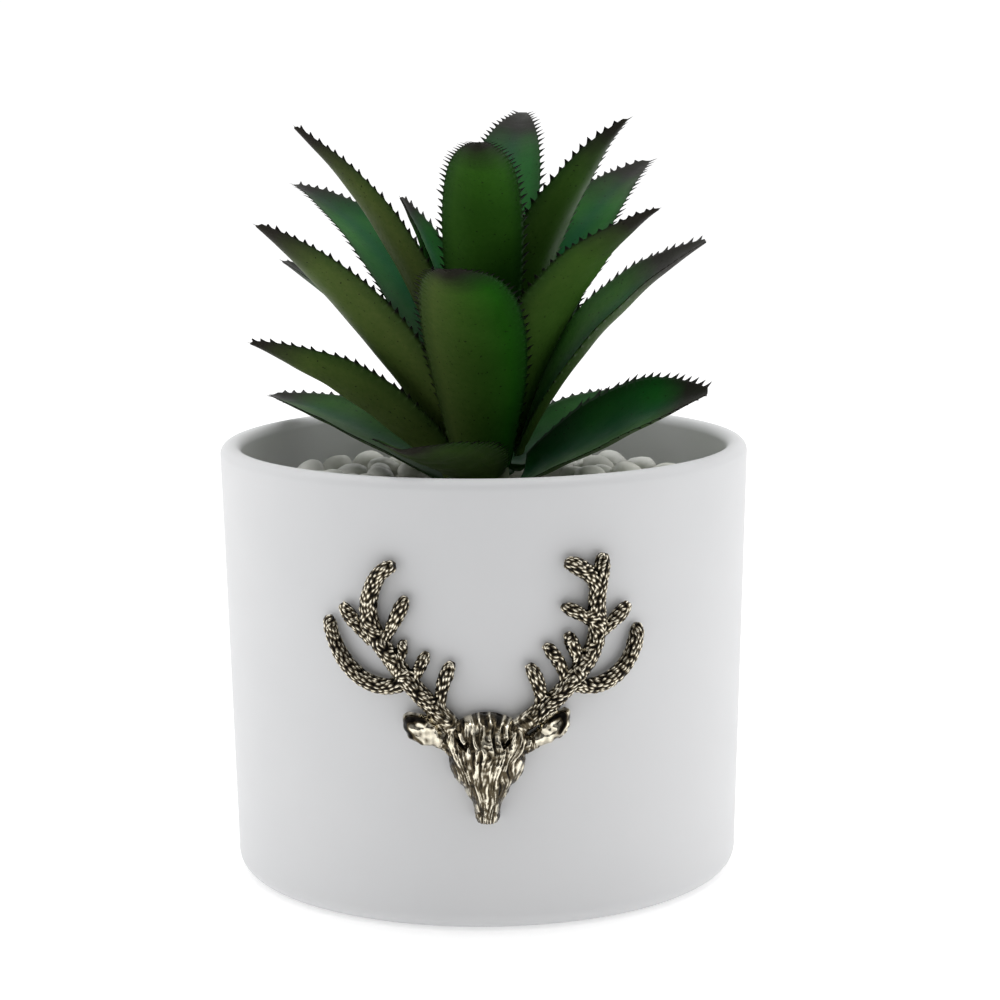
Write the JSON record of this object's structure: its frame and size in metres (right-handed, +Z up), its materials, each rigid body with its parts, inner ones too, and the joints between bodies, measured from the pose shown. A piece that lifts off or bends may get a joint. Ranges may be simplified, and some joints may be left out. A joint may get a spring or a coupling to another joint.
{
  "type": "potted artificial succulent",
  "caption": "Artificial succulent with toothed leaves on a lift-out stem, set in white pebbles in a round ceramic pot with a cast metal stag's head on the front.",
  "frame": {"origin": "centre of the pot's flat underside", "axes": "+Z up along the pot's axis; the stag's head is on the -Y side; +X is to the right when facing it"},
  "size_m": [0.1198, 0.1271, 0.172],
  "materials": {
    "pot_ceramic": "matte white glaze",
    "foam": "dry foam, matte",
    "green_plastic": "matte moulded plastic",
    "leaf_plastic": "satin soft plastic, two-tone green",
    "steel_wire": "drawn wire",
    "pebbles": "tumbled, matte",
    "antique_metal": "antiqued pale gold over a dark patina",
    "glue": "cured glue"
  },
  "bodies": {
    "planter": {"pot": "pot_ceramic", "foam_plug": "foam", "pebble_bed": "pebbles", "pebbles_loose": "pebbles", "stag_badge": "antique_metal", "badge_glue": "glue"},
    "pick": {"stem_pick": "green_plastic", "stem_wire": "steel_wire"},
    "rosette": {"crown_core": "green_plastic", "leaf_01": "leaf_plastic", "leaf_02": "leaf_plastic", "leaf_03": "leaf_plastic", "leaf_04": "leaf_plastic", "leaf_05": "leaf_plastic", "leaf_06": "leaf_plastic", "leaf_07": "leaf_plastic", "leaf_08": "leaf_plastic", "leaf_09": "leaf_plastic", "leaf_10": "leaf_plastic", "leaf_11": "leaf_plastic", "leaf_12": "leaf_plastic", "leaf_13": "leaf_plastic", "leaf_14": "leaf_plastic", "leaf_15": "leaf_plastic", "leaf_16": "leaf_plastic", "leaf_17": "leaf_plastic", "leaf_18": "leaf_plastic", "leaf_19": "leaf_plastic", "leaf_20": "leaf_plastic", "leaf_21": "leaf_plastic", "leaf_22": "leaf_plastic"}
  },
  "joints": [
    {"name": "plant_lift", "type": "slide", "parent": "planter", "child": "pick", "axis": [0, 0, 1], "range_m": [0, 0.062]},
    {"name": "rosette_turn", "type": "hinge", "parent": "pick", "child": "rosette", "pos_m": [0, 0, 0.083], "axis": [0, 0, 1], "continuous": true}
  ]
}
